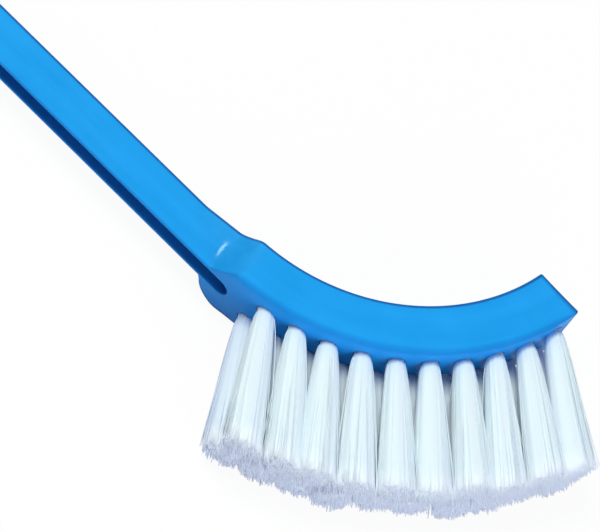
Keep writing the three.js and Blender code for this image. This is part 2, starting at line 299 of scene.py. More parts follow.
def unbend(x, y):
    """Station and depth of points beside the bend, given from its centre: bend() the other way round."""
    return FACE_RADIUS * np.arctan2(x, -y), FACE_RADIUS - np.hypot(x, y)


toe_corner = bend(HEAD_LENGTH, 0.0, BLOCK_HALF)
print("toe's near corner", toe_corner.round(4))

# %% [markdown]
# ## The section of the bar
# Cut anywhere, the bar is a rectangle with rounded corners. A rounded rectangle is a smaller one grown
# evenly by the corner radius, so each point of the section is kept as a point of the smaller core and
# the way that it is pushed out. The same core and push round off the toe as well. On the tuft face the
# bar widens into the block as a quarter round, which is a plainer ramp on the side that is turned up.
# On the back it widens as a slow flare. Each point also gets an edge mark from 0 to 1, by which the
# finish later paints shade into the colour as a deeper blue.

# %% Width of the bar
HANDLE_HALF = 4.6 * MM
HEEL_LEAD = 5.7 * MM  # how far before the bend the round heel starts on the tuft face, on the far side
HEEL_ROUND = 9.5 * MM  # length of the round heel
RAMP_LEAD = 3.6 * MM  # how far before the bend its plainer near side starts
RAMP_LENGTH = 8.8 * MM
FLARE_LENGTH = 22.0 * MM  # stretch over which the back widens, up to the heel's end
FLARE_TAPER = 0.55  # share of that widening that is an even taper
SWELL_START = 0.58  # share of the flare after which the rest swells out
FOOT_EASE = 0.6 * MM  # softens the foot of the heel and the end of the flare
SIDE_EASE = 3.0 * MM  # softens them more half way down the side
EASE_SAMPLES = 65  # points that the average over such a stretch is taken from


def smooth_step(share):
    """0 up to 0, 1 from 1 on, and 3t^2 - 2t^3 between."""
    share = np.clip(share, 0, 1)
    return share**2 * (3 - 2 * share)


def half_width(station, deep, near):
    """Half the bar's width at a station, between the tuft face (deep is 0) and the back (deep is 1).

    On the face the heel is a quarter round, sqrt(1 - (1 - t)^2), on the far side (near is 0), and a
    plain ramp on the near side (near is 1). On the back an even taper and a smooth step share the
    widening. All are averaged over a short stretch, longest half way down the side, which rounds off
    their kinks.
    """
    ease = np.asarray(FOOT_EASE + SIDE_EASE * 4 * deep * (1 - deep))
    around = np.expand_dims(station, -1) + np.expand_dims(ease, -1) * np.linspace(-1, 1, EASE_SAMPLES)
    heel = np.clip((around + HEEL_LEAD) / HEEL_ROUND, 0, 1)
    quarter_round = np.sqrt(1 - (1 - heel) ** 2).mean(-1)
    ramp = np.clip((around + RAMP_LEAD) / RAMP_LENGTH, 0, 1).mean(-1)
    face = quarter_round + near * (ramp - quarter_round)
    run = np.clip(1 + (around + HEEL_LEAD - HEEL_ROUND) / FLARE_LENGTH, 0, 1)
    swell = smooth_step((run - SWELL_START) / (1 - SWELL_START))
    back = (FLARE_TAPER * run + (1 - FLARE_TAPER) * swell).mean(-1)
    return HANDLE_HALF + (BLOCK_HALF - HANDLE_HALF) * (face + deep * (back - face))


bend_widths = half_width(0.0, 0.0, np.array([0.0, 1.0]))
print("half widths of the face where the bend starts, far and near", bend_widths.round(5))

# %% Section of the bar
EDGE = 0.7 * MM  # radius of the moulded edges
FACE_EDGE = 2.0 * MM  # radius of the softer edges beside the tufts
SOFT_RUN = 8.1 * MM  # stretch over which they grow along the heel, and shrink before the toe
LEAN_RUN = 14.0 * MM  # stretch over which the sides turn into the leaning toe
TOE_SHADE_RUN = 1.3 * MM  # width of the painted shade beside the toe's rim
NEAR_EDGE_SHADE = 0.3  # painted shade on the near edge of the tuft face
FAR_EDGE_SHADE = 0.9  # and on the far edge and the border beside it
ARC_STEPS = 5
SIDE_SHARES = np.array([0, 0.125, 0.25, 0.375, 0.5, 0.625, 0.75, 0.875, 0.955, 1])  # down a side
ROW_STEPS = 8  # steps across each row of tufts

levers = np.linspace(1, -1, 2 * ROW_STEPS + 1)
quarter = np.linspace(0, np.pi / 2, ARC_STEPS + 1)


def section_of_bar():
    """Deep share, lever and push angle of each point, from one border of the face round the back.

    The lever is the share of the half width, and the push angle is 0 towards the face, a quarter turn
    towards the near side and a half turn towards the back. The far side mirrors the near one.
    """
    side = SIDE_SHARES[1:-1]
    deep = np.concatenate([np.zeros(ARC_STEPS + 1), side, np.ones(ARC_STEPS + 1)])
    push = np.concatenate([quarter, np.full(len(side), np.pi / 2), np.pi / 2 + quarter])
    back = levers[1:-1]
    deep = np.concatenate([deep, np.ones(len(back)), deep[::-1]])
    lever = np.concatenate([np.ones(len(push)), back, -np.ones(len(push))])
    push = np.concatenate([push, np.full(len(back), np.pi), 2 * np.pi - push[::-1]])
    return deep, lever, push


def edge_radius(station, deep):
    """Radius of the rounded edges. On the tuft face it grows, and shrinks again, by smooth steps."""
    grown = smooth_step(station / SOFT_RUN) * smooth_step((HEAD_LENGTH - EDGE - station) / SOFT_RUN)
    return EDGE + (1 - deep) * (FACE_EDGE - EDGE) * grown


def section_points(section, station, inset):
    """The section at some stations: its core pushed out by the edge radius less an inset.

    The height grows evenly along the bend, and beside the toe the points stand back with their depth.
    The edge mark, which paints shade, is full where the sides meet the back, and fades over the rounding.
    On the tuft face it is strong at the far border and faint on the near edge. Just before the toe it
    rises to full.
    """
    deep, lever, push = section
    height = BODY_HEIGHT + (TOE_HEIGHT - BODY_HEIGHT) * np.maximum(station, 0) / HEAD_LENGTH
    radius = edge_radius(station, deep)
    core = (1 - deep) * edge_radius(station, 0.0) + deep * (height - EDGE)
    depth = core - (radius - inset) * np.cos(push)
    core_across = lever * (half_width(station, deep, (1 + lever) / 2) - radius)
    across = core_across + (radius - inset) * np.sin(push)
    lean = TOE_SETBACK * depth / height * np.clip(1 - (HEAD_LENGTH - station) / LEAN_RUN, 0, 1)
    # Edge mark: painted shade as a deeper blue, on the back's edges, the far border of the face and beside
    # the toe.
    face_shade = np.where(lever > 0, NEAR_EDGE_SHADE * np.sin(2 * push), FAR_EDGE_SHADE * np.cos(push))
    toe_shade = 1 - (HEAD_LENGTH - EDGE - station) / TOE_SHADE_RUN
    edge = np.maximum(np.where(deep < 1, face_shade, np.abs(np.sin(push))), toe_shade)
    return station - lean, depth, across, edge


skin_section = section_of_bar()
print("section of", len(skin_section[0]), "points")

# %% [markdown]
# ## The channel
# The handle is hollowed from the bristle side by a long slot with round ends. Carrying the slot's own
# profile (rounded lip, wall, rounded foot and floor) round its outline gives the whole pocket at once,
# because on the straight runs the two sides meet on the middle line, and at the ends they close up.

# %% Channel pocket
CHANNEL_HALF = 3.4 * MM
CHANNEL_DEPTH = 11.0 * MM
CHANNEL_LIP = 0.3 * MM
CHANNEL_FOOT = 0.8 * MM
CHANNEL_PAINTED_SHADE = 0.78  # painted shade: how much deeper the blue is inside the channel
CHANNEL_DRAFT = math.tan(math.radians(0.6))  # the walls lean in a little, to leave the mould
WALL_STEPS = 4
FLOOR_STEPS = 3

openings = {row["name"]: np.array(row["box_m"]) for row in frame["record"]["physics"]["openings"]}
CHANNEL_START, CHANNEL_STOP = openings["handle_channel"][:, 0] - BEND_X
LIP_REACH = CHANNEL_HALF + CHANNEL_LIP


def channel_profile():
    """Reach from the middle line, depth and painted-shade edge mark of the pocket, from its lip down to
    its floor.
    """
    lip_reach = CHANNEL_HALF + CHANNEL_LIP * (1 - np.sin(quarter))
    lip_depth = CHANNEL_LIP * (1 - np.cos(quarter))
    wall_depth = np.linspace(CHANNEL_LIP, CHANNEL_DEPTH - CHANNEL_FOOT, WALL_STEPS + 1)[1:]
    wall_reach = CHANNEL_HALF - CHANNEL_DRAFT * (wall_depth - CHANNEL_LIP)
    foot_reach = wall_reach[-1] - CHANNEL_FOOT * (1 - np.cos(quarter[1:]))
    foot_depth = wall_depth[-1] + CHANNEL_FOOT * np.sin(quarter[1:])
    floor_reach = np.linspace(foot_reach[-1], 0, FLOOR_STEPS + 1)[1:]
    floor_depth = np.full(FLOOR_STEPS, CHANNEL_DEPTH)
    reach = np.concatenate([lip_reach, wall_reach, foot_reach, floor_reach])
    depth = np.concatenate([lip_depth, wall_depth, foot_depth, floor_depth])
    # Painted shade fills the channel's inside and fades out over the lip.
    edge = np.full(len(reach), CHANNEL_PAINTED_SHADE)
    edge[: len(quarter)] *= np.sin(quarter)
    return reach, depth, edge


def channel_pocket(stations, turns):
    """The profile carried along part of the outline, by stations on the middle line and ways outward."""
    reach, depth, edge = channel_profile()
    station = stations[:, None] + reach * np.cos(turns)[:, None]
    across = reach * np.sin(turns)[:, None]
    return station, depth, across, edge


print("channel from", CHANNEL_START.round(4), "to", CHANNEL_STOP.round(4), "along the bar")

# %% [markdown]
# ## Stations along the bar
# Patches only join without gaps where they share their border points. One list of stations for each
# stretch is therefore made first, and every patch on that stretch uses it: the plain end, the channel,
# the heel, the tufted face with a fixed number of steps in each tuft's cell, and the rim of the toe.

# %% Stations
HEEL_MARGIN = 15.1 * MM  # start of the bend to the middle of the first column, along the face
TUFT_PITCH = 10.4 * MM
TUFT_COLUMNS = 10
CELL_STEPS = 12  # steps along each tuft's cell
STAGGER_STEPS = 2  # steps that each row's cells are moved along, against each other
FLARE_START = -20.0 * MM
FOOT_START = -8.5 * MM  # just before the foot of the heel
JOIN_GAP = 7.0 * MM  # from the channel's round end to the end of the handle's solid tip
JOIN_STEPS = 8  # steps along the plain end, and along the other stretches
STRAIGHT_STEPS = 48
FLARE_STEPS = 10
FOOT_STEPS = 48
HEEL_STEPS = 16
TOE_STEPS = 2

JOIN = CHANNEL_START - JOIN_GAP
CELL_STEP = TUFT_PITCH / CELL_STEPS
TUFT_STEPS = TUFT_COLUMNS * CELL_STEPS + 2 * STAGGER_STEPS
TUFTS_START = HEEL_MARGIN - (CELL_STEPS / 2 + STAGGER_STEPS) * CELL_STEP


def follow_on(*stretches):
    """One list of stations from stretches of which each starts where the one before it ends."""
    return np.concatenate([stretches[0]] + [stretch[1:] for stretch in stretches[1:]])


tip_stations = np.linspace(JOIN, CHANNEL_START, JOIN_STEPS + 1)
straight_stations = np.linspace(CHANNEL_START, FLARE_START, STRAIGHT_STEPS + 1)
flare_stations = np.linspace(FLARE_START, FOOT_START, FLARE_STEPS + 1)
foot_stations = np.linspace(FOOT_START, CHANNEL_STOP, FOOT_STEPS + 1)
handle_stations = follow_on(straight_stations, flare_stations, foot_stations)
heel_stations = np.linspace(CHANNEL_STOP, TUFTS_START, HEEL_STEPS + 1)
tuft_stations = TUFTS_START + CELL_STEP * np.arange(TUFT_STEPS + 1)
toe_stations = np.linspace(tuft_stations[-1], HEAD_LENGTH - EDGE, TOE_STEPS + 1)
skin_stations = follow_on(tip_stations, handle_stations, heel_stations, tuft_stations, toe_stations)
print("stations", len(skin_stations))

# %% [markdown]
# ## Patches around the channel
# Beside the channel the face is two narrow lands. At each end of it the face has to pass from a round
# lip to a square border, so a fan of straight lines runs from the border to the lip.

# %% Lands and fans
FAN_STEPS = 6


def face_border(station, near=1.0):
    """Where the flat of the face ends and the rounded edge begins, on the near or the far side."""
    return half_width(station, 0.0, near) - edge_radius(station, 0.0)


def land(side):
    """The face between the channel's lip and the edge, on one side: straight lines at each station."""
    share = np.linspace(0, 1, FAN_STEPS + 1)
    station = handle_stations[:, None]
    across = side * (LIP_REACH + share * (face_border(station, (1 + side) / 2) - LIP_REACH))
    # The far land's outer border gets the far edge's painted shade.
    return station, 0.0, across, FAR_EDGE_SHADE * (side < 0) * (share == 1)


def fan(centre, border_station, border_across, border_shade):
    """Straight lines from the border of the face to the round lip, aimed at the lip's centre.

    Returns the patch and the way that each line points, which the channel's round end shares.
    """
    turns = np.unwrap(np.arctan2(border_across, border_station - centre))
    share = np.linspace(0, 1, FAN_STEPS + 1)[:, None]
    station = border_station + share * (centre + LIP_REACH * np.cos(turns) - border_station)
    across = border_across + share * (LIP_REACH * np.sin(turns) - border_across)
    # Only the border row keeps its painted shade mark.
    return (station, 0.0, across, border_shade * (share == 0)), turns


def end_border(stations):
    """A border up the near side of the face, across its end and down the far side, with its painted-shade
    marks.
    """
    across = levers * face_border(stations[-1])
    station = np.concatenate([stations, np.full(len(levers) - 2, stations[-1]), stations[::-1]])
    across = np.concatenate([face_border(stations), across[1:-1], -face_border(stations, 0.0)[::-1]])
    far = np.arange(len(across)) >= len(across) - len(stations)
    return station, across, FAR_EDGE_SHADE * far


heel_fan, heel_turns = fan(CHANNEL_STOP, *end_border(heel_stations))
tip_fan, tip_turns = fan(CHANNEL_START, *end_border(tip_stations[::-1]))
quarter_turns = np.full(len(handle_stations), np.pi / 2)
channel_patches = [
    heel_fan,
    tip_fan,
    land(1),
    land(-1),
    channel_pocket(handle_stations, quarter_turns),
    channel_pocket(handle_stations, -quarter_turns),
    channel_pocket(np.full(len(heel_turns), CHANNEL_STOP), heel_turns),
    channel_pocket(np.full(len(tip_turns), CHANNEL_START), tip_turns),
]
print("channel patches", len(channel_patches))

# %% [markdown]
# ## Tuft holes
# Each tuft sits in a blind hole that was drilled along the tuft, so near the ends of the head the holes
# slant against the face. The two rows are staggered. Cutting twenty holes with a boolean would leave
# ragged faces. Here the face is divided into one cell for each tuft, and rings of points run from the
# cell's square border to the hole's slanted mouth, over a small round lip, down the wall and across
# the floor. Where the stagger leaves a row's end bare, a plain strip fills it.

# %% Tuft holes
ROW_PLACES = {"lower": -5.7 * MM, "upper": 5.7 * MM}
ROW_SHIFTS = {"lower": -1.8 * MM, "upper": 2.4 * MM}
ROW_DRIFTS = {"lower": 0.16 * MM, "upper": 0.0}  # more for each column
ROW_LEVERS = {"lower": levers[ROW_STEPS:], "upper": levers[: ROW_STEPS + 1]}
ROW_FIRST = {"lower": 0, "upper": 2 * STAGGER_STEPS}
TUFT_DIRECTION = math.radians(42.0)  # middle tufts, from the handle's downward normal
TUFT_FAN = 0.24  # turn of a tuft for each degree of turn along the bend
HOLE_RADIUS = 2.5 * MM  # the tufts are drawn in here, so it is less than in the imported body
HOLE_DEPTH = 9.0 * MM
HOLE_LIP = 0.3 * MM


def tuft_turn(column, row):
    """How far round the bend a tuft stands."""
    along = HEEL_MARGIN + column * TUFT_PITCH
    return (along + ROW_SHIFTS[row] + column * ROW_DRIFTS[row]) / FACE_RADIUS


def tuft_root(column, row):
    """Middle of a tuft's mouth on the face, in the plane of the bend and from its centre."""
    turn = tuft_turn(column, row)
    return FACE_RADIUS * np.array([math.sin(turn), -math.cos(turn)])


def tuft_axes(column, row):
    """The way that a tuft points, and the way to its side, both in the plane of the bend."""
    heading = TUFT_DIRECTION + TUFT_FAN * (tuft_turn(column, row) - HEAD_SWEEP / 2)
    axis = np.array([math.sin(heading), -math.cos(heading)])
    side = np.array([math.cos(heading), math.sin(heading)])
    return axis, side


def along_axis(start, axis, radius):
    """How far points run along an axis to a circle round the bend's centre: a quadratic's far root."""
    along = start @ axis
    return -along + np.sqrt(along**2 - (start**2).sum(-1) + radius**2)


def hole_ring(column, row, turns, radius, depth):
    """A ring round the hole's axis where it meets the surface at that depth below the face."""
    axis, side = tuft_axes(column, row)
    start = tuft_root(column, row) + radius * np.cos(turns)[:, None] * side
    points = start + along_axis(start, axis, FACE_RADIUS - depth)[:, None] * axis
    return *unbend(points[:, 0], points[:, 1]), ROW_PLACES[row] + radius * np.sin(turns)


def floor_ring(column, row, turns, radius):
    """A ring on the flat floor of the hole, square to its axis."""
    axis, side = tuft_axes(column, row)
    points = tuft_root(column, row) - HOLE_DEPTH * axis + radius * np.cos(turns)[:, None] * side
    return *unbend(points[:, 0], points[:, 1]), ROW_PLACES[row] + radius * np.sin(turns)


print("first tuft", tuft_root(0, "upper").round(4), "points", tuft_axes(0, "upper")[0].round(3))

# %% Cells round the holes
CELL_RINGS = 4


def cell_border(column, row):
    """The square border of a tuft's cell on the face, as a closed loop of stations and places across."""
    first = ROW_FIRST[row] + column * CELL_STEPS
    stations = tuft_stations[first : first + CELL_STEPS + 1]
    reach, lever = face_border(stations), ROW_LEVERS[row]
    across_ones = np.ones(ROW_STEPS)
    sides = [stations[:-1], stations[-1] * across_ones, stations[:0:-1], stations[0] * across_ones]
    places = [
        lever[0] * reach[:-1],
        lever[:-1] * reach[-1],
        lever[-1] * reach[:0:-1],
        lever[:0:-1] * reach[0],
    ]
    station, place = np.concatenate(sides), np.concatenate(places)
    return np.append(station, station[0]), np.append(place, place[0])


def row_end(row):
    """The plain strip of face that the stagger leaves at one end of a row."""
    stations = tuft_stations[: ROW_FIRST[row] + 1]
    if row == "lower":
        stations = tuft_stations[-2 * STAGGER_STEPS - 1 :]
    return stations[:, None], 0.0, ROW_LEVERS[row] * face_border(stations[:, None]), 0.0


def tuft_cell(column, row):
    """Rings from the cell's border to the mouth, over the lip, down the wall and across the floor."""
    station, across = cell_border(column, row)
    middle = tuft_turn(column, row) * FACE_RADIUS
    turns = np.unwrap(np.arctan2(across - ROW_PLACES[row], station - middle))
    border = np.stack([station, np.zeros_like(station), across])
    mouth = np.stack(hole_ring(column, row, turns, HOLE_RADIUS + HOLE_LIP, 0.0))
    rings = [border + share * (mouth - border) for share in np.linspace(0, 1, CELL_RINGS + 1)]
    for angle in quarter[1:]:
        radius = HOLE_RADIUS + HOLE_LIP * (1 - math.sin(angle))
        rings.append(np.stack(hole_ring(column, row, turns, radius, HOLE_LIP * (1 - math.cos(angle)))))
    for radius in (HOLE_RADIUS, HOLE_RADIUS / 2, 0.0):
        rings.append(np.stack(floor_ring(column, row, turns, radius)))
    # The edge mark paints shade, a deeper blue, on the lip of the hole.
    edge = np.zeros((len(rings), 1))
    edge[CELL_RINGS : CELL_RINGS + len(quarter), 0] = np.sin(2 * quarter)
    return *np.stack(rings, axis=1), edge


tufts = [(column, row) for column in range(TUFT_COLUMNS) for row in ROW_PLACES]
tuft_patches = [tuft_cell(column, row) for column, row in tufts] + [row_end(row) for row in ROW_PLACES]
print("tuft cells and row ends", len(tuft_patches))

# %% [markdown]
# ## The toe and the tip of the handle
# The toe is cut square, with a rounded rim: the section's push shrinks like a cosine while the station
# moves on like a sine. The tip of the handle is half round, with the hang hole through its flat sides.
# There the outline of the tip is followed instead of the sections, and fans run from it to the hole.

# %% Toe
TOE_RINGS = 3  # steps from the rim to the middle of the flat end


def toe_patches():
    """The strip of face beside the toe, the rounded rim and the flat end, closed towards its middle."""
    face = levers[::-1][1:-1]
    deep, lever, push = skin_section
    deep = np.concatenate([deep, np.zeros(len(face) + 1)])
    lever = np.concatenate([lever, face, lever[:1]])
    push = np.concatenate([push, np.zeros(len(face)), push[:1]])
    strip = toe_stations[:, None], 0.0, levers * face_border(toe_stations[:, None]), 0.0
    angle = quarter[:, None]
    rim_station = HEAD_LENGTH - EDGE * (1 - np.sin(angle))
    rim = section_points((deep, lever, push), rim_station, EDGE * (1 - np.cos(angle)))
    # The rim's edge mark is painted shade: full beside the sides and gone at the flat end.
    rim = *rim[:3], np.cos(angle)
    share = np.linspace(1, 0, TOE_RINGS + 1)[:, None]
    depth = TOE_HEIGHT / 2 + share * (rim[1][-1] - TOE_HEIGHT / 2)
    end = HEAD_LENGTH - TOE_SETBACK * depth / TOE_HEIGHT, depth, share * rim[2][-1], 0.0
    return [strip, rim, end]


print("toe patches", len(toe_patches()))

# %% Tip of the handle
HANG_HOLE_RADIUS = 3.75 * MM
HANG_LIP = 0.5 * MM
TIP_ARC_STEPS = 24
TIP_RUN_STEPS = 6
TIP_RINGS = 3  # steps from the border of a side to the mouth of the hang hole
TIP_RADIUS = BODY_HEIGHT / 2
HANG_STATION = openings["hang_hole"][:, 0].mean() - BEND_X


def tip_outline():
    """Stations, depths and inward ways along the tip's outline: the face, the half round, the back."""
    round_station = HANDLE_END + TIP_RADIUS
    turn = np.linspace(-np.pi / 2, np.pi / 2, TIP_ARC_STEPS + 1)
    run = np.linspace(JOIN, round_station, TIP_RUN_STEPS + 1)[:-1]
    flat = np.zeros(len(run))
    station = np.concatenate([run, round_station - TIP_RADIUS * np.cos(turn), run[::-1]])
    depth = np.concatenate([flat, TIP_RADIUS * (1 + np.sin(turn)), flat + BODY_HEIGHT])
    in_station = np.concatenate([flat, np.cos(turn), flat])
    in_depth = np.concatenate([flat + 1, -np.sin(turn), flat - 1])
    return station, depth, in_station, in_depth


def tip_rim():
    """The outline carried across the handle's thickness, with both its edges rounded off."""
    station, depth, in_station, in_depth = (values[:, None] for values in tip_outline())
    push = np.concatenate([quarter[::-1], np.zeros(len(levers) - 2), quarter])
    sign = np.concatenate([np.ones(len(quarter)), levers[1:-1], -np.ones(len(quarter))])
    inset = EDGE * (1 - np.cos(push))
    across = sign * (HANDLE_HALF - EDGE) + np.sign(sign) * EDGE * np.sin(push)
    # The edge mark, painted shade, is fullest half way round each rounded edge.
    return station + inset * in_station, depth + inset * in_depth, across, np.sin(2 * push)


def tip_side(side):
    """One flat side of the tip: fans from its border to the hang hole, its lip, and half its wall."""
    station, depth, in_station, in_depth = tip_outline()
    join_depth = (EDGE + SIDE_SHARES * (BODY_HEIGHT - 2 * EDGE))[-2::-1]
    border_station = np.append(station + EDGE * in_station, np.full(len(join_depth), JOIN))
    border_depth = np.append(depth + EDGE * in_depth, join_depth)
    turns = np.arctan2(border_depth - TIP_RADIUS, border_station - HANG_STATION)
    ways = np.stack([np.cos(turns), np.sin(turns)])
    centre = np.array([[HANG_STATION], [TIP_RADIUS]])
    border = np.stack([border_station, border_depth])
    mouth = centre + (HANG_HOLE_RADIUS + HANG_LIP) * ways
    rings = [border + share * (mouth - border) for share in np.linspace(0, 1, TIP_RINGS + 1)]
    lip_reach = HANG_HOLE_RADIUS + HANG_LIP * (1 - np.sin(quarter[1:]))
    rings += [centre + reach * ways for reach in np.append(lip_reach, HANG_HOLE_RADIUS)]
    lip_height = HANDLE_HALF - HANG_LIP * (1 - np.cos(quarter[1:]))
    height = np.concatenate([np.full(TIP_RINGS + 1, HANDLE_HALF), lip_height, [0.0]])
    # The edge mark paints shade on the lip of the hang hole.
    edge = np.zeros(len(rings))
    edge[TIP_RINGS : TIP_RINGS + len(quarter)] = np.sin(2 * quarter)
    flat = np.stack(rings, axis=1)
    return flat[0], flat[1], side * height[:, None], edge[:, None]


tip_patches = [tip_rim(), tip_side(1), tip_side(-1)]
print("hang hole", HANG_STATION.round(4), "along the bar")

# %% [markdown]
# ## Sewing the patches together
# Each patch is a grid of points, so its faces are the grid's cells. All grids go into one mesh, equal
# border points are merged, and a count of open edges proves that the body is closed. Every point also
# keeps its place on the flat pattern and its edge mark, the painted shade that the finish reads later.

# %% Body mesh
MERGE = 0.004 * MM


def grid_faces(rows, columns, first):
    """The four corners of each cell of a grid whose points are numbered row by row."""
    index = first + np.arange(rows * columns).reshape(rows, columns)
    corners = [index[:-1, :-1], index[:-1, 1:], index[1:, 1:], index[1:, :-1]]
    return np.stack(corners, axis=-1).reshape(-1, 4)


def add_attribute(mesh, name, kind, values):
    """Stores one value or vector for each point of a mesh."""
    field = "vector" if kind == "FLOAT_VECTOR" else "value"
    attribute = mesh.attributes.new(name, kind, "POINT")
    attribute.data.foreach_set(field, np.ascontiguousarray(values, np.float32).ravel())


def add_object(name, mesh):
    """A piece of the brush, shaded smooth, that rides on the one body."""
    mesh.shade_smooth()
    piece = bpy.data.objects.new(name, mesh)
    scene.collection.objects.link(piece)
    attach(piece, "root")
    return piece


def sew_patches(name, patches):
    """One closed mesh from patches of (station, depth, across, edge) grids."""
    grids = [np.stack(np.broadcast_arrays(*patch), axis=-1) for patch in patches]
    firsts = np.cumsum([0] + [grid.shape[0] * grid.shape[1] for grid in grids])
    faces = [grid_faces(*grid.shape[:2], first) for grid, first in zip(grids, firsts)]
    flat = np.concatenate([grid.reshape(-1, 4) for grid in grids])
    mesh = bpy.data.meshes.new(name)
    mesh.from_pydata(bend(*flat[:, :3].T), [], np.concatenate(faces).tolist())
    add_attribute(mesh, "flat_place", "FLOAT_VECTOR", flat[:, :3])
    # The edge mark, painted shade, goes to the finish as a point attribute.
    add_attribute(mesh, "edge", "FLOAT", flat[:, 3])
    sewn = bmesh.new()
    sewn.from_mesh(mesh)
    bmesh.ops.remove_doubles(sewn, verts=sewn.verts, dist=MERGE)
    bmesh.ops.dissolve_degenerate(sewn, dist=MERGE / 4, edges=sewn.edges)
    bmesh.ops.recalc_face_normals(sewn, faces=sewn.faces)
    open_edges = sum(not edge.is_manifold for edge in sewn.edges)
    volume = sewn.calc_volume(signed=True)
    print(name, len(sewn.faces), "faces, open edges", open_edges, "volume", volume)
    sewn.to_mesh(mesh)
    sewn.free()
    return mesh


skin = section_points(skin_section, skin_stations[:, None], 0.0)
body_patches = [skin, *channel_patches, *tuft_patches, *toe_patches(), *tip_patches]
body = add_object("body_moulding", sew_patches("body_moulding", body_patches))
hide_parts("brush_body")
smooth = body.modifiers.new("even_normals", "WEIGHTED_NORMAL")
smooth.weight = 100

# %% [markdown]
# ## Blue moulded plastic
# The body is cheap satin polypropylene. A flat blue would look like paint, so the colour drifts in soft
# clouds and in faint streaks that follow the flow of the melt along the bar. The edge mark paints shade
# into it as a deeper blue: on the edges of the back, round the toe and the tip, along the far border of
# the tuft face, at the lips of the holes and inside the channel. The skin has a fine ripple and hair
# scratches along the bar. The gloss is uneven, and one spot on each shoulder, where a thumb rests, is
# polished.

# %% Plastic finish
BLUE_DEEP = (0.009, 0.31, 0.795, 1)
BLUE_CLEAR = (0.016, 0.353, 0.882, 1)
# The deeper blue that the edge mark paints in as shade.
BLUE_PAINTED_SHADE = (0.008, 0.088, 0.37, 1)
BLUE_SPAN = (0.7, 1.3)  # part of the sum of clouds and streaks that is spread from deep to clear
EDGE_SHADE_SHARES = (0.85, 1.0)  # how much of the edge mark's painted shade shows, from grain to grain
SATIN = (0.42, 0.54)  # roughness
POLISH = 0.3  # share of it that is left on the polished spot
POLISH_FULL = 0.6  # share of the spot's reach that is fully polished
POLISH_PLACE = np.array([-5.3, 6.4, 0.0]) * MM  # station and depth of the spot on the shoulder
POLISH_REACH = np.array([2.4, 3.6, np.inf]) * MM
SCRATCH_SPAN = (0.66, 0.74)  # peaks of the hair noise that cut a scratch
CLOUDS = 55.0  # scales of the noises: the larger, the finer
GRAINS = 420.0
GLOSS_CLOUDS = 130.0
RIPPLES = 900.0
FLOW_STREAKS = (18, 240, 240)  # along the bar, down it and across it
HAIR_LINES = (22, 2600, 2600)


def plastic_colour(tree, place, pattern):
    """Two blues blended by clouds plus flow streaks, and a deeper one blended in as painted shade by the
    edge mark.
    """
    edge = add_node(tree, "Attribute", attribute_name="edge").outputs["Fac"]
    clouds = noise(tree, place, CLOUDS, detail=3.0)
    flow = noise(tree, pattern, FLOW_STREAKS, detail=4.0)
    tone = spread(tree, combine(tree, "ADD", clouds, flow), *BLUE_SPAN, 0.0, 1.0)
    blue = mix_colours(tree, tone, BLUE_DEEP, BLUE_CLEAR)
    grains = noise(tree, place, GRAINS, detail=5.0)
    uneven = spread(tree, grains, *NOISE_SPAN, *EDGE_SHADE_SHARES)
    # The edge mark, varied from grain to grain, paints shade as the deeper blue.
    return mix_colours(tree, combine(tree, "MULTIPLY", uneven, edge), blue, BLUE_PAINTED_SHADE)


def plastic_gloss(tree, place, pattern):
    """A cloudy satin roughness, times a polish that is lowest on the spot.

    The pattern is moved and scaled until the spot's middle is at 0 and its border at a length of 1.
    """
    clouds = noise(tree, place, GLOSS_CLOUDS, detail=4.0)
    satin = spread(tree, clouds, *NOISE_SPAN, *SATIN)
    inputs = {"Vector": pattern, "Location": -POLISH_PLACE / POLISH_REACH, "Scale": 1 / POLISH_REACH}
    spot = add_node(tree, "Mapping", inputs).outputs[0]
    away = add_node(tree, "VectorMath", {0: spot}, operation="LENGTH").outputs["Value"]
    return combine(tree, "MULTIPLY", satin, spread(tree, away, POLISH_FULL, 1.0, POLISH, 1.0))


def plastic_bumps(tree, place, pattern):
    """A fine ripple, and on it scratches where a noise drawn out along the bar has its peaks."""
    ripples = noise(tree, place, RIPPLES, detail=2.0)
    inputs = {"Height": ripples, "Strength": 0.04, "Distance": 0.2 * MM}
    ripple = add_node(tree, "Bump", inputs).outputs[0]
    hair = noise(tree, pattern, HAIR_LINES, detail=2.0)
    scratch = spread(tree, hair, *SCRATCH_SPAN, 1.0, 0.0)
    inputs = {"Height": scratch, "Strength": 0.12, "Distance": 0.1 * MM, "Normal": ripple}
    return add_node(tree, "Bump", inputs).outputs[0]


def moulded_plastic():
    """The body's colour, gloss and bumps, from places in space and places on the flat pattern."""
    material, tree, shader = new_material("moulded_blue_plastic")
    place = add_node(tree, "TexCoord").outputs["Object"]
    pattern = add_node(tree, "Attribute", attribute_name="flat_place").outputs["Vector"]
    tree.links.new(plastic_colour(tree, place, pattern), shader.inputs["Base Color"])
    tree.links.new(plastic_gloss(tree, place, pattern), shader.inputs["Roughness"])
    tree.links.new(plastic_bumps(tree, place, pattern), shader.inputs["Normal"])
    shader.inputs["Specular IOR Level"].default_value = 0.12
    return material


body.data.materials.append(moulded_plastic())
print("plastic nodes", len(body.data.materials[0].node_tree.nodes))

# %% [markdown]
# ## Bristle tufts
# A tuft is a bundle of stiff plastic filaments, folded over its staple at the bottom of the hole. Hair
# particles would be quick, but they don't export as a mesh. Each filament is therefore a thin square
# tube of few faces whose middle line is worked out for the whole tuft at once: packed like sunflower
# seeds in the hole, spread towards the tip in small clumps, bent a little, and cut near one radius.
# The middle of the bundle, where no single filament can be told from the next, is one grooved form.

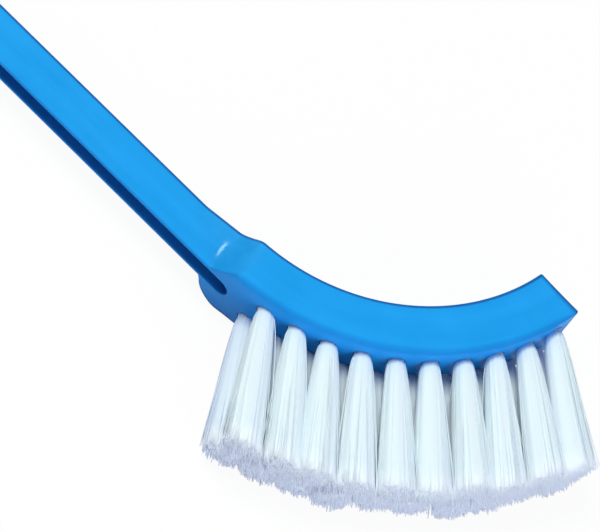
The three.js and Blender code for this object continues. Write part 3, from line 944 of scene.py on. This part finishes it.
# %% Tuft shape
FILAMENTS = 320
FILAMENT_RADIUS = 0.15 * MM
RING_SHARES = np.array([0.0, 0.05, 0.14, 0.3, 0.6, 1.0])  # of the free length, after a ring in the hole
ROOT_DEPTH = 5.0 * MM  # how far down the hole a filament starts
ROOT_REACH = 2.3 * MM  # radius of the bundle in its hole
BRISTLE_LENGTH = 41.5 * MM  # tuft face to the trimmed tips
TIP_REACH = np.array([6.3, 6.0]) * MM  # along the rows and across them
SPREAD_POWER = 0.56  # below 1, so a tuft swells as it leaves its hole
CLUMPS = 12
CLUMP_PULL = 0.34
CLUMP_SCATTER = 0.07  # of the clumps in the tuft's unit disc
SCATTER = 0.06  # of the filaments
STRAY_SCATTER = 0.3  # and of the few that stray
CURL = 0.5 * MM
TIP_RAGGEDNESS = 0.32 * MM
TUFT_RAGGEDNESS = 0.6 * MM  # from tuft to tuft
TUFT_LEAN = math.radians(0.6)
STRAY_SHARE = 0.02
GOLDEN_TURN = math.pi * (3 - math.sqrt(5))


def place_tuft(column, row, random):
    """One tuft's root, axis, ways across, trimming radius, free length, and the lean of its tip."""
    axis, side = (np.append(way, 0.0) for way in tuft_axes(column, row))
    root = np.append(tuft_root(column, row), ROW_PLACES[row])
    trim = FACE_RADIUS + BRISTLE_LENGTH + random.normal(0, TUFT_RAGGEDNESS)
    length = along_axis(root[:2], axis[:2], trim)
    ways = np.stack([side, (0.0, 0.0, 1.0)])
    lean = length * random.normal(0, TUFT_LEAN, 2)
    return SimpleNamespace(root=root, axis=axis, ways=ways, trim=trim, length=length, lean=lean)


def seed_places(count):
    """Even places in a unit disc, like sunflower seeds: radius by square root, a golden turn each."""
    number = np.arange(count)
    reach = np.sqrt((number + 0.5) / count)
    return np.stack([reach * np.cos(number * GOLDEN_TURN), reach * np.sin(number * GOLDEN_TURN)], axis=1)


def tip_places(random):
    """Where the filaments end in the tuft's unit disc: their own place, pulled to a clump, scattered."""
    own = seed_places(FILAMENTS)
    clumps = seed_places(CLUMPS) + random.normal(0, CLUMP_SCATTER, (CLUMPS, 2))
    nearest = ((own[:, None] - clumps) ** 2).sum(-1).argmin(1)
    pulled = own + CLUMP_PULL * (clumps[nearest] - own)
    strays = random.uniform(0, 1, (FILAMENTS, 1)) < STRAY_SHARE
    return pulled + np.where(strays, STRAY_SCATTER, SCATTER) * random.normal(0, 1, pulled.shape)


def filament_lines(tuft, random):
    """Middle lines of one tuft's filaments, as filaments x rings x 3.

    A line starts down the hole, runs straight to the mouth and spreads from there to its tip by a power
    of the length. A bend that grows with the square of the length is added. Each line runs on until it
    meets its own trimming radius round the bend's centre.
    """
    start = ROOT_REACH * seed_places(FILAMENTS)
    mouth = tuft.root + start @ tuft.ways
    swell = (tip_places(random) * TIP_REACH + tuft.lean - start) @ tuft.ways
    cut = tuft.trim + random.normal(0, TIP_RAGGEDNESS, FILAMENTS)
    length = along_axis((mouth + swell)[:, :2], tuft.axis[:2], cut)
    bow = random.normal(0, CURL, (FILAMENTS, 2)) @ tuft.ways
    share = RING_SHARES[:, None]
    free = mouth[:, None] + share**SPREAD_POWER * swell[:, None] + share**2 * bow[:, None]
    free = free + share * length[:, None, None] * tuft.axis
    hidden = mouth[:, None] - ROOT_DEPTH * tuft.axis
    return np.concatenate([hidden, free], axis=1)


trial = filament_lines(place_tuft(0, "upper", np.random.default_rng(7)), np.random.default_rng(7))
print("first tuft", trial.shape, "reaches", np.hypot(*trial[:, -1, :2].T).mean().round(4))

# %% Dense middle of a tuft
CORE_COLUMNS = 48
CORE_SHARES = np.array([-0.05, 0.0, 0.02, 0.05, 0.1, 0.18, 0.3, 0.45, 0.6, 0.75, 0.9, 0.978])
CORE_FILLS = np.array([0.6, 0.97, 1.0, 1.0, 1.0, 0.99, 0.98, 0.97, 0.96, 0.95, 0.95, 0.92])
CORE_ENDS = np.array([-0.07, 0.984])
CORE_GROOVE = 0.028
CORE_RAGGEDNESS = 0.01  # of its columns' lengths


def core_points(tuft, random):
    """The bundle's middle as rings round the axis, and the two points that close it.

    A ring follows the spread of the filaments, a little inside it, and each column of points runs as far
    along the axis as a filament would there. A column keeps its own share of the radius along the whole
    tuft, which leaves grooves like those between filaments.
    """
    turn = np.arange(CORE_COLUMNS) * (2 * np.pi / CORE_COLUMNS)
    ripple = random.normal(0, 1, CORE_COLUMNS)
    groove = 1 + CORE_GROOVE * (ripple + np.roll(ripple, 1)) / 2
    circle = groove[:, None] * np.stack([np.cos(turn), np.sin(turn)], axis=1)
    share = CORE_SHARES[:, None, None]
    swell = np.maximum(share, 0) ** SPREAD_POWER
    reach = CORE_FILLS[:, None, None] * (ROOT_REACH + swell * (TIP_REACH - ROOT_REACH))
    tips = tuft.root + (TIP_REACH * circle + tuft.lean) @ tuft.ways
    length = along_axis(tips[:, :2], tuft.axis[:2], tuft.trim)[:, None]
    length = length * random.normal(1, CORE_RAGGEDNESS, (CORE_COLUMNS, 1))
    rings = tuft.root + share * length * tuft.axis + (reach * circle + swell * tuft.lean) @ tuft.ways
    end_lean = (np.maximum(CORE_ENDS, 0) ** SPREAD_POWER)[:, None] * tuft.lean
    ends = tuft.root + CORE_ENDS[:, None] * tuft.length * tuft.axis + end_lean @ tuft.ways
    return rings, ends


print("middle of a tuft", CORE_COLUMNS * len(CORE_SHARES) + len(CORE_ENDS), "points")

# %% Tuft meshes
CORNERS = 4


def tube_faces(rings, columns):
    """The sides of a tube whose points are numbered ring by ring, facing outwards."""
    ring = np.arange(rings)[:, None] * columns + np.arange(columns)
    after = np.roll(ring, -1, axis=1)
    return ring, np.stack([ring[:-1], after[:-1], after[1:], ring[1:]], axis=-1).reshape(-1, 4)


def core_faces(first):
    """The sides of a tuft's middle, and the triangles that close its two ends, from a first point on."""
    ring, sides = tube_faces(len(CORE_SHARES), CORE_COLUMNS)
    count = ring.size
    after = np.roll(ring, -1, axis=1)
    start = np.stack([np.full(CORE_COLUMNS, count), after[0], ring[0]], axis=1)
    stop = np.stack([np.full(CORE_COLUMNS, count + 1), ring[-1], after[-1]], axis=1)
    return (first + sides).tolist() + (first + np.concatenate([start, stop])).tolist()


def tuft_mesh(column, row):
    """Square tubes round the middle lines of one tuft, closed at both ends, and the bundle's middle.

    A tube's ring is the line's point plus its radius times a turned corner, in the plane across the
    tuft. The grid of rings and corners gives the sides, and the first and last rings give the ends.
    """
    random = np.random.default_rng([column, list(ROW_PLACES).index(row)])
    tuft = place_tuft(column, row, random)
    lines = filament_lines(tuft, random)
    turn = random.uniform(0, np.pi, FILAMENTS)[:, None] + np.arange(CORNERS) * (2 * np.pi / CORNERS)
    corner = np.stack([np.cos(turn), np.sin(turn)], axis=-1) @ tuft.ways
    tubes = lines[:, :, None] + FILAMENT_RADIUS * corner[:, None]
    rings, ends = core_points(tuft, random)
    points = np.concatenate([tubes.reshape(-1, 3), rings.reshape(-1, 3), ends])

    ring, sides = tube_faces(lines.shape[1], CORNERS)
    faces = np.concatenate([sides, ring[:1, ::-1], ring[-1:]])
    firsts = np.arange(FILAMENTS) * ring.size
    tube_corners = (firsts[:, None, None] + faces).reshape(-1, 4)
    mesh = bpy.data.meshes.new(f"tuft_{row}_{column + 1:02d}")
    all_faces = tube_corners.tolist() + core_faces(FILAMENTS * ring.size)
    mesh.from_pydata(points + (BEND_X, BEND_Y, MIDDLE_Z), [], all_faces)

    along = np.broadcast_to(np.append(0.0, RING_SHARES)[:, None], tubes.shape[:3])
    core_along = np.broadcast_to(CORE_SHARES[:, None], rings.shape[:2])
    tone = np.broadcast_to(random.uniform(0, 1, (FILAMENTS, 1, 1)), tubes.shape[:3])
    core_tone = np.broadcast_to(random.uniform(0, 1, CORE_COLUMNS), rings.shape[:2])
    add_attribute(mesh, "along", "FLOAT", np.concatenate([along.ravel(), core_along.ravel(), CORE_ENDS]))
    add_attribute(mesh, "tone", "FLOAT", np.concatenate([tone.ravel(), core_tone.ravel(), [0.5, 0.5]]))
    return mesh


SECTION_COLUMNS = {"tufts_heel": 2, "tufts_mid_heel": 3, "tufts_mid_toe": 3, "tufts_toe": 2}
section_of = np.repeat(list(SECTION_COLUMNS), list(SECTION_COLUMNS.values()))
tuft_pieces = []
for column, row in tufts:
    mesh = tuft_mesh(column, row)
    tuft = add_object(mesh.name, mesh)
    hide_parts(str(section_of[column]))
    tuft_pieces.append(tuft)
print("tufts", len(tuft_pieces), "faces each", len(tuft_pieces[0].data.polygons))

# %% [markdown]
# ## White filament
# The filaments are white plastic with a cold tint. Each has its own tone. Shade is painted in as a bluer
# colour low down, so the lower row is bluer than the upper one, and light is painted in at the cut tips,
# which are the palest part. Fine dust dulls the gloss.

# %% Filament finish
FILAMENT_WHITE = (0.795, 0.885, 0.955, 1)
FILAMENT_COOL = (0.795, 0.86, 0.985, 1)
# Painted light: the cut tips are paler than the filaments' white.
FILAMENT_TIP_LIGHT = (0.92, 0.96, 1.0, 1)
# Painted shade: the blue of the lower filaments.
FILAMENT_LOW_SHADE = (0.74, 0.81, 1.0, 1)
FILAMENT_ROUGH = (0.34, 0.52)
COOL_FROM = 0.45  # tone above which a filament turns cooler
COOL_SHARE = 0.6
LOW_SHADE_HEIGHTS = (8 * MM, 19 * MM)  # painted shade: bluest up to the first, not at all from the second
TIP_LIGHT_FROM = 0.82  # share of the free length after which painted light turns it paler
TIP_LIGHT_SHARE = 0.8
DUST = 700.0  # scale of the noise


def white_filament():
    """A white, bluer low down as painted shade, paler at the tips as painted light, each filament toned,
    gloss uneven.
    """
    material, tree, shader = new_material("white_filament")
    along = add_node(tree, "Attribute", attribute_name="along").outputs["Fac"]
    tone = add_node(tree, "Attribute", attribute_name="tone").outputs["Fac"]
    place = add_node(tree, "TexCoord").outputs["Object"]
    cool = spread(tree, tone, COOL_FROM, 1.0, 0.0, COOL_SHARE)
    white = mix_colours(tree, cool, FILAMENT_WHITE, FILAMENT_COOL)
    # Painted shade: the filaments turn bluer the lower they lie.
    height = add_node(tree, "SeparateXYZ", {0: place}).outputs["Z"]
    low = spread(tree, height, *LOW_SHADE_HEIGHTS, 1.0, 0.0)
    white = mix_colours(tree, low, white, FILAMENT_LOW_SHADE)
    # Painted light: the cut tips turn paler.
    tip = spread(tree, along, TIP_LIGHT_FROM, 1.0, 0.0, TIP_LIGHT_SHARE)
    tree.links.new(mix_colours(tree, tip, white, FILAMENT_TIP_LIGHT), shader.inputs["Base Color"])
    dust = noise(tree, place, DUST, detail=2.0)
    tree.links.new(spread(tree, dust, *NOISE_SPAN, *FILAMENT_ROUGH), shader.inputs["Roughness"])
    shader.inputs["Specular IOR Level"].default_value = 0.25
    return material


filament_finish = white_filament()
for tuft in tuft_pieces:
    tuft.data.materials.append(filament_finish)
print("filament finish on", len(tuft_pieces), "tufts")

# %% [markdown]
# ## Staples
# A flat wire staple at the bottom of each hole holds its tuft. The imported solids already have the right
# shape, so they stay, and only get a drawn-wire finish: bright metal with fine lines along the wire.

# %% Staple finish
WIRE_BRIGHT = (0.74, 0.75, 0.77, 1)
WIRE_DULL = (0.55, 0.56, 0.58, 1)
WIRE_ROUGH = (0.25, 0.45)
DRAWN_LINES = (6000, 6000, 150)  # the wire lies across the block


def drawn_wire():
    """Metal whose tone and gloss vary in lines along the wire."""
    material, tree, shader = new_material("tinned_wire")
    place = add_node(tree, "TexCoord").outputs["Object"]
    drawn = noise(tree, place, DRAWN_LINES, detail=3.0)
    tree.links.new(mix_colours(tree, drawn, WIRE_DULL, WIRE_BRIGHT), shader.inputs["Base Color"])
    tree.links.new(spread(tree, drawn, *NOISE_SPAN, *WIRE_ROUGH), shader.inputs["Roughness"])
    shader.inputs["Metallic"].default_value = 1.0
    return material


wire_finish = drawn_wire()
staples = [node for name, node in frame["nodes"].items() if name.startswith("staple_")]
for staple in staples:
    staple.data.materials.clear()
    staple.data.materials.append(wire_finish)
print("staples", len(staples))
